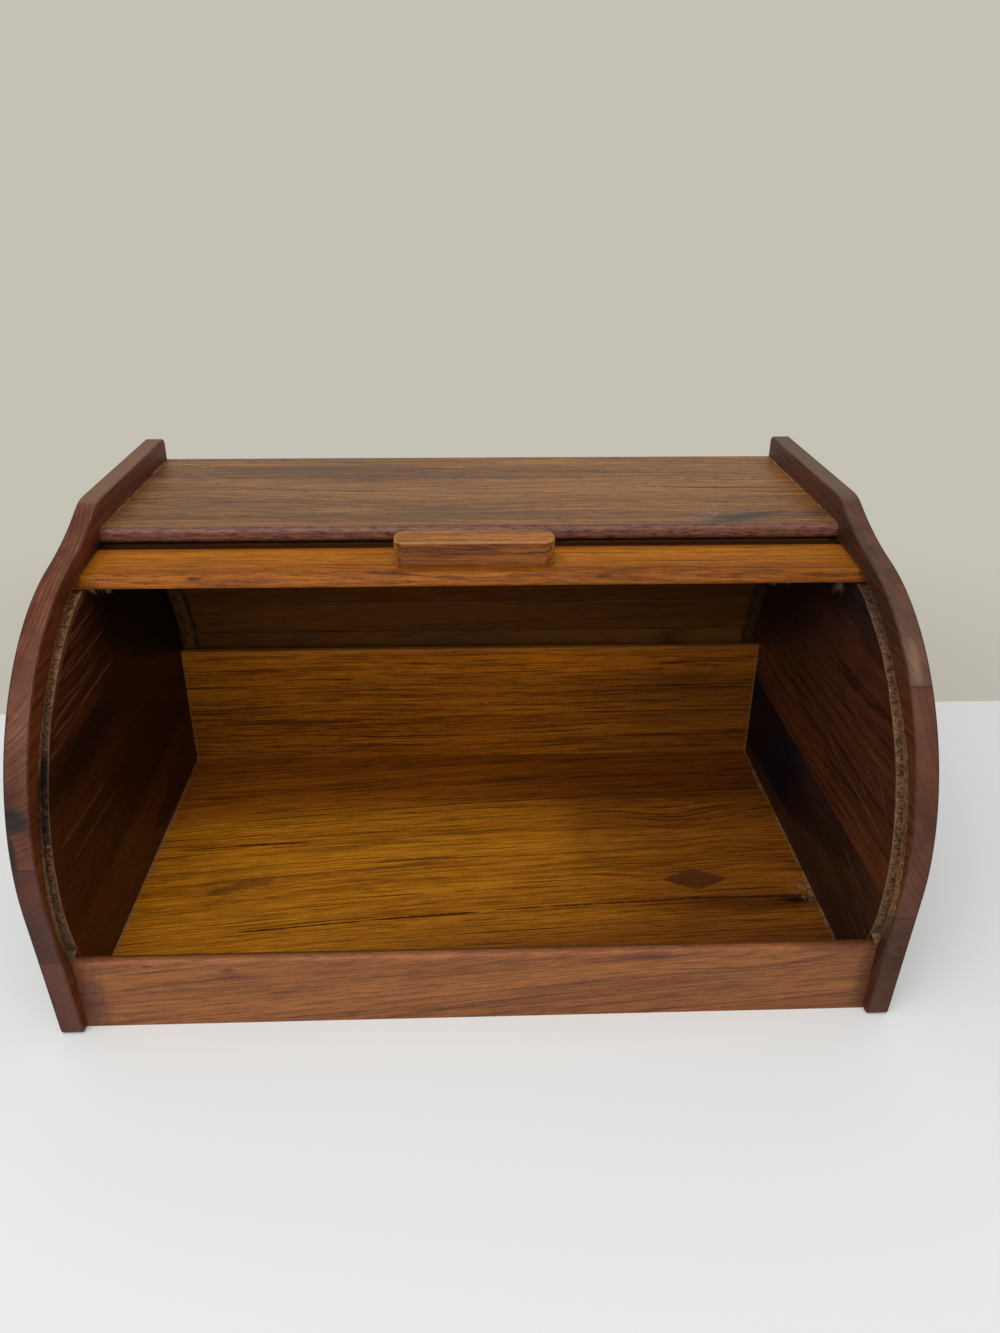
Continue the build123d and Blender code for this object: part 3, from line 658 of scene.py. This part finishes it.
# The top face of the gallery is greyer: partly weathering, partly painted sheen.
gallery_top = right_upper.facing[2].between(0.5, 0.8) * right_upper.y.between(0.006, 0.012)
right_upper.tint(gallery_top * 0.5, (0.135, 0.092, 0.064))
# Painted shade, deeper towards the back inside the box.
right_upper.shade(right_upper.y.between(0.0, 0.1) * right_upper.inside * (1 - above_top) * 0.3, (0.4, 0.36, 0.5))
# Painted shade, dark and bluish, high on the inner face under the top board.
blue_shade = right_upper.spot((inner_x, 0.0, 0.18), (0.006, 0.07, 0.03), 0.7, 0.5, (-12, 0, 0))
right_upper.tint(blue_shade * 0.55, (0.0055, 0.0062, 0.0085))
# Painted shade, dark and bluish, at the back under the top board.
right_rear_shade = {"centre": (inner_x, 0.06, 0.142), "size": (0.006, 0.056, 0.021), "soft": 0.6, "turn": (-32, 0, 0)}
right_upper.tint(right_upper.spot(**right_rear_shade) * 0.65, (0.004, 0.0062, 0.009))
right_upper.cover("right_side_upper_board")

right_middle = side_board(
    "right_middle", 43.9, (-0.33, 0.17), (3, 0, 0), (0.09, 0.028, 0.011), (0.026, 0.0075, 0.004), red_dark,
    (0.122, 0.045, 0.024), (0.06, 0.021, 0.011), **right_side,
)
# Painted shade, deeper towards the back inside the box.
right_middle.shade(right_middle.y.between(-0.02, 0.1) * right_middle.inside * 0.35, (0.42, 0.36, 0.45))
right_middle.shade(right_middle.z.below(0.078, 0.102) * right_middle.inside * 0.9, (1.5, 1.42, 1.2))
purple = right_middle.spot((inner_x, 0.015, 0.148), (0.006, 0.06, 0.026), 0.8, 0.5, (-10, 0, 0))
right_middle.tint(purple * 0.4, (0.013, 0.008, 0.0095))
# The same painted shade at the back, on the middle board.
right_middle.tint(right_middle.spot(**right_rear_shade) * 0.65, (0.004, 0.0062, 0.009))
right_middle.shade(right_middle.spot((inner_x, 0.08, 0.086), (0.006, 0.045, 0.018), 0.8) * 0.9, (1.7, 1.7, 2.1))
scratches = [
    ((-112, 100), (-90, 118), 0.5), ((-104, 104), (-78, 112), 0.5), ((-92, 92), (-74, 103), 0.5),
    ((-98, 120), (-70, 121), 0.5), ((-60, 128), (-40, 131), 0.5), ((-45, 94), (-30, 100), 0.5),
    ((-110, 90), (-30, 96), 0.7), ((-105, 78), (-60, 81), 0.6),
]
right_middle.marks(0, inner_x, scratches, 0.6, 0.34, (0.22, 0.115, 0.06))
right_middle.cover("right_side_middle_board")

right_lower = side_board(
    "right_lower", 46.6, (-0.196, 0.052), (-3, 0, 0), (0.066, 0.025, 0.015), (0.024, 0.0095, 0.0065), red_dark,
    (0.108, 0.047, 0.028), (0.046, 0.02, 0.013), **right_side, ring=0.0022, gloss=0.1,
)
# Painted shade, deeper towards the back inside the box.
right_lower.shade(right_lower.y.between(-0.02, 0.09) * right_lower.inside * 0.5, (0.45, 0.38, 0.45))
band_foot = (0.0 - right_lower.y).math("MAXIMUM", 0.0) * 0.36 - right_lower.y.math("MAXIMUM", 0.0) * 0.08 + 0.0215
above_foot = right_lower.z - band_foot + (right_lower.grain(0.035, 0.003, 3.0) - 0.5) * 0.012
black_band = above_foot.between(-0.002, 0.003) * right_lower.y.between(-0.118, -0.06) * right_lower.inside
deep_in = right_lower.y.between(-0.04, 0.03)
band_colour = right_lower.mix(deep_in, (0.0085, 0.006, 0.0055), (0.0012, 0.0036, 0.0085))
right_lower.tint(black_band * (0.7 + deep_in * 0.27), band_colour)
low_scratches = [((-118, 34), (-96, 43), 0.8), ((-110, 28), (-92, 31), 0.8), ((-100, 50), (-70, 58), 0.8)]
right_lower.marks(0, inner_x, low_scratches, 0.9, 0.4, (0.15, 0.085, 0.06))
right_lower.shade(right_lower.spot((inner_x, 0.005, 0.06), (0.006, 0.05, 0.008), 0.8) * 0.8, (1.8, 1.8, 2.0))
right_lower.cover("right_side_lower_board")


# Top board: the shelf between the gallery ends, straight brown grain gone a little grey, with fine scratches.
# It meets the sides face to face on dowels. The tambour rolls in below its rounded front edge.
top_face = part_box("top_board")[1].z

top = Timber(
    "grey_brown_top", pale=(0.33, 0.138, 0.034), deep=(0.075, 0.026, 0.0085), dark=(0.026, 0.011, 0.007),
    heart=(0.4, 0.02), tilt=(0, 0, 1.0), ring=0.0036, seed=52.4, band=0.6, late=0.45, lines=0.8,
    veins=0.45, streak=0.9, pores=0.6, gloss=0.38,
    knots=(
        ((-0.03, 0.042, top_face), (0.1, 0.024, 0.02), 0.006),
        ((0.08, 0.078, top_face), (0.08, 0.022, 0.02), -0.004),
        ((-0.15, 0.06, top_face), (0.05, 0.02, 0.02), -0.004),
    ),
)
top.shade(top.grain(0.085, 0.003, 3.0).between(0.42, 0.62) * 0.6, (0.68, 0.65, 0.64))
top.shade(top.y.between(0.118, 0.125) * 0.8, (1.22, 1.22, 1.18))
top.shade(top.x.between(-0.06, 0.08) * 0.9, (1.13, 1.09, 0.98))
halo = top.spot((0.14, 0.017, top_face), (0.03, 0.0125, 0.01), 0.8, 0.4, (0, 0, 8))
feather = top.grain(0.05, 0.0011, 2.0).between(0.38, 0.6)
top.tint(halo * 0.4, (0.08, 0.045, 0.038))
for centre, size, depth in (
    ((0.139, 0.0155), (0.013, 0.0055), 1.0), ((0.15, 0.0205), (0.013, 0.0034), 0.95),
    ((0.124, 0.009), (0.012, 0.0026), 0.65), ((0.183, 0.023), (0.007, 0.0045), 0.55),
    ((0.161, 0.024), (0.012, 0.0015), 0.55),
):
    streak = top.spot((*centre, top_face), (*size, 0.01), 0.7, 0.6, (0, 0, 14))
    top.tint(streak * (0.55 + feather * 0.45) * depth, (0.02, 0.015, 0.014))
top.marks(2, top_face, [((60, 105), (173, 98), 1.8)], 0.6, 0.6, (0.04, 0.02, 0.014))
for centre, size, depth in (
    ((-0.09, 0.11), (0.04, 0.01), 0.55), ((-0.01, 0.022), (0.04, 0.01), 0.45),
    ((-0.143, 0.042), (0.032, 0.006), 0.55), ((-0.098, 0.0373), (0.014, 0.003), 0.5),
    ((-0.012, 0.0355), (0.024, 0.004), 0.5), ((0.06, 0.06), (0.05, 0.004), 0.3),
):
    band = top.spot((*centre, top_face), (*size, 0.01), 0.8, 0.6)
    top.tint(band * (0.4 + feather * 0.6) * depth, (0.058, 0.032, 0.019))
nicks = [
    ((105.5, 80), (109, 66)), ((109, 47), (116, 44)), ((131, 43), (132.5, 33)), ((124.5, 27), (129, 20)),
    ((131.5, 26), (127, 19)), ((121, 92), (127, 88)), ((125, 93), (123, 86)), ((-20, 70), (-14, 68)),
    ((50, 50), (55, 51)),
]
top.marks(2, top_face, [(*ends, 0.4) for ends in nicks], 0.5, 0.55, (0.5, 0.34, 0.18))
seam = (inner_x - abs(top.x)).below(0.0004, 0.001)
seam_dust = top.blotches(160, 3.0, 0.7).between(0.45, 0.6)
top.tint(seam * top.facing[2] * seam_dust * 0.6, (0.5, 0.38, 0.26))
nose_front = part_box("top_board")[0].y
rough_edge = top.blotches((150, 900, 900), 4.0, 0.7)
to_nose = (top.y - nose_front + (rough_edge - 0.5) * 0.008).below(0.0018, 0.0052)
top.tint(to_nose * 0.85, (0.138, 0.047, 0.031))
top.tint(to_nose * rough_edge.between(0.5, 0.6) * 0.8, (0.03, 0.01, 0.012))
top.tint(to_nose * rough_edge.below(0.4, 0.47) * 0.45, (0.22, 0.085, 0.06))
top.cover("top_board")


# Dowels: plain pale pegs that hold the top board and the rail to the sides, and the inner back to the floor.
# They are glued into their holes and show nowhere.
peg = Timber(
    "pale_dowel", pale=(0.62, 0.45, 0.28), deep=(0.5, 0.34, 0.19), dark=(0.4, 0.26, 0.14),
    heart=(0.05, 0.05), ring=0.0015, seed=58.0, band=0.3, streak=0.1, pores=0.2,
)
peg.cover("top_board_dowels", "rail_dowels", "inner_back_dowels")


# Narrow slats: eight strips of brown hardwood with eased outer edges, held side by side by the tapes.
# Their ends run in the grooves of the sides, and just short of the right groove they carry painted shade.
slat_names = sorted(name for name in frame["nodes"] if name.startswith("slat_"))
for number, name in enumerate(slat_names):
    slat = Timber(
        f"brown_{name}", pale=(0.145, 0.055, 0.0085), deep=(0.065, 0.021, 0.0038), dark=(0.03, 0.009, 0.003),
        heart=(0.2, 0.1), tilt=(0, 0, 1.0), ring=0.0034, seed=61.0 + 2.3 * number, band=0.5, streak=0.4,
    )
    # Painted shade on the right end of each slat, just short of the groove.
    slat.shade(slat.x.between(inner_x - 0.003, inner_x - 0.0015) * 0.9, (0.15, 0.18, 0.25))
    slat.cover(name)


# Front slat: wider and lighter than the others, with its nose bevelled off below the handle.
# It leads the tambour down to the rail. Rolled open, its rear edge lies below the top board, and that strip
# carries painted shade and a painted shadow.
lead = Timber(
    "orange_front_slat", pale=(0.475, 0.162, 0.0135), deep=(0.2, 0.058, 0.0055), dark=(0.065, 0.017, 0.004),
    heart=(0.3, 0.05), tilt=(0, 0, 0.6), ring=0.003, seed=83.5, band=0.45, late=0.3, lines=0.8,
    veins=0.15, streak=0.6, pores=0.55, gloss=0.1,
)
bevel_top = 0.1962
bevel = lead.z.below(bevel_top - 0.0017, bevel_top)
bevel_grain = lead.blotches((38, 620, 620), 4.0, 0.65)
# Painted shade on the bevel, which faces the lamp.
lead.shade(bevel * 0.8, (0.6, 0.5, 0.25))
lead.tint(bevel * bevel_grain.between(0.52, 0.64) * 0.6, (0.075, 0.02, 0.006))
lead.tint(bevel * bevel_grain.below(0.34, 0.44) * 0.35, (0.3, 0.105, 0.022))
for x, long in ((-0.1355, 0.0035), (0.063, 0.004)):
    nick = lead.spot((x, -0.031, 0.1925), (long, 0.012, 0.0007), 0.5, 0.8)
    lead.tint(nick * 0.75, (0.04, 0.012, 0.006))
lead.shade(lead.x.between(0.02, 0.16) * 0.45, (0.72, 0.74, 1.0))
# Painted shade from about 1 cm in front of the top board's nose backwards, and a near-black painted shadow from 5
# mm in front of it backwards.
rear = lead.y.between(nose_front - 0.0095, nose_front - 0.0038)
lead.shade(rear * 0.6, (0.48, 0.36, 0.4))
lead.tint(lead.y.between(nose_front - 0.005, nose_front - 0.0037) * 0.9, (0.006, 0.0028, 0.002))
lead.cover("lead_slat")


# Handle: a block of the same kind of wood, with rounded corners, and rubbed pale along its upper edges.
# It is glued to the front slat, and two countersunk screws hold it from inside.
handle = Timber(
    "brown_handle", pale=(0.425, 0.16, 0.026), deep=(0.115, 0.033, 0.005), dark=(0.04, 0.011, 0.005),
    heart=(0.22, 0.1), tilt=(0, -3.5, 2), ring=0.003, sway=0.009, seed=91.2, band=0.6, late=0.15, lines=1.0,
    streak=0.7, pores=0.5,
)
# Painted shade on the front face.
handle.shade(handle.facing[1].between(0.5, 0.9) * 0.95, (0.56, 0.41, 0.2))
worn_rim = handle.facing[2].between(0.12, 0.35) * handle.facing[2].below(0.85, 0.97)
rubbed = handle.blotches(70, 3.0, 0.6).between(0.22, 0.5)
handle.tint(worn_rim * rubbed * 0.55, (0.4, 0.185, 0.06))
handle.cover("handle")


# Cloth tapes: plain-woven cotton glued to the inner face of every slat, so that the slats hinge on each other.
# Old glue and oil have soaked them brown. The right one is darker, as painted shade, and their front ends fray.
tape_thickness = 0.0007
tape_lift = 0.00005
weave_pitch = 0.0009
thread_thickness = 0.00024
generator = np.random.default_rng(7)


def new_piece(name, points, faces, material, body):
    """A mesh piece from whole arrays of points and faces, which rides on a body of the frame."""
    mesh = bpy.data.meshes.new(name)
    mesh.from_pydata(points.tolist(), [], faces)
    mesh.materials.append(material)
    mesh.polygons.foreach_set("use_smooth", np.ones(len(mesh.polygons), dtype=bool))
    piece = bpy.data.objects.new(name, mesh)
    scene.collection.objects.link(piece)
    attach(piece, body)
    return piece


def tape_route(name, spacing=0.0005, soften=5):
    """Points (y, z) along the outer face of a CAD tape, from its front end to its tail, and the run to each.

    The vertices that lie furthest from the tambour's axis belong to that face. Sorted by angle, they are joined
    by straight runs, cut every spacing, and a mean over 2 * soften + 1 points rounds each fold.
    """
    mesh = frame["nodes"][name].data
    corners = np.empty(3 * len(mesh.vertices))
    mesh.vertices.foreach_get("co", corners)
    out = corners.reshape(-1, 3)[:, 1:] - (axis_y, axis_z)
    reach = np.hypot(*out.T)
    out = np.unique(out[reach > reach.max() - 0.0006].round(5), axis=0)
    out = out[np.argsort(-np.arctan2(out[:, 1], out[:, 0]))]
    run = np.concatenate([[0], np.cumsum(np.hypot(*np.diff(out, axis=0).T))])
    at = np.linspace(0, run[-1], round(run[-1] / spacing) + 1)
    route = np.stack([np.interp(at, run, out[:, i]) for i in (0, 1)], axis=1)
    padded = np.pad(route, ((soften, soften), (0, 0)), mode="edge")
    window = np.ones(2 * soften + 1) / (2 * soften + 1)
    smooth = np.stack([np.convolve(padded[:, i], window, mode="valid") for i in (0, 1)], axis=1)
    route[soften:-soften] = smooth[soften:-soften]
    return route + (axis_y, axis_z), at


def woven_tape(name, node, material):
    """A flat band whose profile is carried along the route of a CAD tape, with a ragged front end.

    With P(s) on the route, N(s) the unit vector from there to the inside of the box and (u_j, h_j) the profile,
    point (k, j) is (x_0 + u_j, P(s_kj) + (tape_lift + h_j) * N), where s_kj = s_k plus a random share of 1.5 mm
    that fades out over the first 4 mm. The edge away from the wall is eaten back by up to 0.8 mm.
    """
    low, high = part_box(node)
    width = high.x - low.x
    route, at = tape_route(node)
    step = np.gradient(route, axis=0)
    inward = np.stack([step[:, 1], -step[:, 0]], axis=1)
    inward *= -np.sign((inward * (route - (axis_y, axis_z))).sum(axis=1, keepdims=True))
    inward /= np.hypot(*inward.T)[:, None]
    columns = 21
    u = np.concatenate([np.linspace(0, width, columns), np.linspace(width, 0, columns)])
    h = np.concatenate([np.full(columns, tape_thickness), np.zeros(columns)])
    h[[0, columns - 1]] *= 0.55
    h[[columns, -1]] = 0.25 * tape_thickness
    torn = np.tile(generator.uniform(0, 0.0015, columns), 2)
    torn[columns:] = torn[:columns][::-1]
    s = at[:, None] + torn * np.clip(1 - at[:, None] / 0.004, 0, 1)
    points = np.empty((len(at), 2 * columns, 3))
    wave = np.interp(at, np.linspace(0, at[-1], 150), generator.uniform(-0.0008, 0.0001, 150))
    from_wall = u / width if high.x < 0 else 1 - u / width
    points[..., 0] = low.x + u + wave[:, None] * from_wall**3 * (1 if high.x < 0 else -1)
    for i in (0, 1):
        normal = np.interp(s, at, inward[:, i])
        points[..., 1 + i] = np.interp(s, at, route[:, i]) + (tape_lift + h) * normal
    rows, around = points.shape[:2]
    first = np.arange((rows - 1) * around).reshape(rows - 1, around)
    after = np.roll(first, -1, axis=1)
    quads = np.stack([first, after, after + around, first + around], axis=-1).reshape(-1, 4)
    if inward[0] @ (route[0] - (axis_y, axis_z)) * (low.x + high.x) > 0:
        quads = quads[:, ::-1]
    ends = [list(range(around)), list(range(len(points) * around - 1, (len(points) - 1) * around - 1, -1))]
    tape = new_piece(name, points.reshape(-1, 3), quads.tolist() + ends, material, "tambour")
    uv = tape.data.uv_layers.new(name="cloth")
    corner = np.empty(len(tape.data.loops), dtype=int)
    tape.data.loops.foreach_get("vertex_index", corner)
    flat = np.stack([np.broadcast_to(u, s.shape), s], axis=-1).reshape(-1, 2)
    uv.data.foreach_set("uv", flat[corner].ravel())
    return tape


def cotton(name, soaked, paler, pale_from, pale_to):
    """Plain weave on the piece's own UV map in metres, darker at its crossings and blotched by old glue."""
    cloth = Nodes(bpy.data.materials.new(name))
    flat = cloth.add("ShaderNodeUVMap", {"uv_map": "cloth"})
    u, v = cloth.parts(flat)[:2]
    warp = (u * (2 * pi / weave_pitch)).math("SINE")
    weft = (v * (2 * pi / weave_pitch)).math("SINE")
    over = warp * weft
    blotch = cloth.noise(cloth.vector("MULTIPLY", flat, (260, 90, 0)), 4.0, 0.65)
    spread = (u + (blotch - 0.5) * 0.006).between(pale_from, pale_to)
    colour = cloth.mix(spread, soaked, paler)
    colour = cloth.mix(blotch.between(0.42, 0.62) * 0.75, colour, (0.022, 0.011, 0.004))
    colour = cloth.mix((0.5 - over * 0.5) * 0.45, colour, (0.025, 0.013, 0.007))
    relief = cloth.add("ShaderNodeBump", None, {"Strength": 0.8, "Distance": 0.0002, "Height": over + blotch})
    cloth.surface({"Base Color": colour, "Roughness": 0.85, "Specular IOR Level": 0.15, "Normal": relief})
    return cloth.owner


def loose_fibres(name, roots, lengths, directions, curls, thickness, material, body):
    """Short round fibres, each a tube of five sides and nine rings carried along a bent line.

    Fibre i passes through P(t) = root_i + length_i * (t * direction_i + t**2 * curl_i) for t from 0 to 1, and
    its radius there is thickness * (1 - 0.6 * t) / 2.
    """
    rings, sides = 9, 5
    t = np.linspace(0, 1, rings)[None, :, None]
    lengths = np.asarray(lengths)[:, None, None]
    line = roots[:, None] + lengths * (t * directions[:, None] + t**2 * curls[:, None])
    along = directions[:, None] + 2 * t * curls[:, None]
    along /= np.linalg.norm(along, axis=2, keepdims=True)
    one = np.cross(along, (0.31, 0.94, 0.13))
    one /= np.linalg.norm(one, axis=2, keepdims=True)
    two = np.cross(along, one)
    turn = np.linspace(0, 2 * pi, sides, endpoint=False)[:, None]
    radius = (thickness * (1 - 0.6 * t) / 2)[..., None]
    ring = radius * (np.cos(turn) * one[:, :, None] + np.sin(turn) * two[:, :, None])
    points = (line[:, :, None] + ring).reshape(-1, 3)
    index = np.arange(len(points)).reshape(len(roots), rings, sides)
    first, after = index[:, :-1], index[:, 1:]
    walls = [first, np.roll(first, -1, axis=2), np.roll(after, -1, axis=2), after]
    quads = np.stack(walls, axis=-1).reshape(-1, 4)
    caps = np.concatenate([index[:, 0, ::-1], index[:, -1]])
    return new_piece(name, points, quads.tolist() + caps.tolist(), material, body)


left_cotton = cotton("cotton_left", (0.085, 0.036, 0.01), (0.17, 0.092, 0.028), 0.008, 0.0055)
# The right tape's darker colours are painted shade.
right_cotton_shaded = cotton("cotton_right_shaded", (0.092, 0.034, 0.008), (0.06, 0.024, 0.009), 0.004, 0.008)
thread = Nodes(bpy.data.materials.new("loose_thread"))
thread_place = thread.add("ShaderNodeTexCoord", output="Object")
thread_tone = thread.noise(thread.vector("MULTIPLY", thread_place, (700,) * 3), 2.0)
thread_colour = thread.mix(thread_tone, (0.07, 0.048, 0.03), (0.3, 0.235, 0.17))
# The threads nearest the right wall are darker.
darker_right_end = thread.parts(thread_place)[0].between(0.16, 0.17)
thread_colour = thread.mix(darker_right_end * 0.8, thread_colour, (0.105, 0.06, 0.046))
thread.surface({"Base Color": thread_colour, "Roughness": 0.85, "Specular IOR Level": 0.15})

nose_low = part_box("lead_slat")[0]
tufts = {
    "left": [(-0.185, 14, 0.0042), (-0.1785, 14, 0.0036)],
    "right": [(0.1815, 24, 0.0082), (0.1545, 5, 0.0028), (0.1475, 6, 0.0028), (0.1855, 8, 0.0022)],
}
for side, cotton_material in (("left", left_cotton), ("right", right_cotton_shaded)):
    tape = woven_tape(f"{side}_woven_tape", f"{side}_tape", cotton_material)
    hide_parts(f"{side}_tape")
    middle, number, longest = np.array(tufts[side]).T
    number = number.astype(int)
    count = number.sum()
    roots = [
        np.repeat(middle, number) + generator.normal(0, 0.0017, count),
        nose_low.y + 0.0012 + generator.uniform(0, 0.0012, count),
        np.full(count, nose_low.z + 0.00015),
    ]
    lean = {"left": 0.35, "right": 0.0}[side]
    hang = [generator.normal(lean, 0.12, count), generator.normal(0.1, 0.1, count), np.full(count, -1.0)]
    bend = [generator.normal(0, 0.15, count), generator.normal(0.05, 0.1, count), np.zeros(count)]
    lengths = np.repeat(longest, number) * generator.uniform(0.45, 1.0, count)
    fringe = loose_fibres(
        f"{side}_frayed_threads", np.transpose(roots), lengths, np.transpose(hang), np.transpose(bend),
        thread_thickness, thread.owner, "tambour",
    )
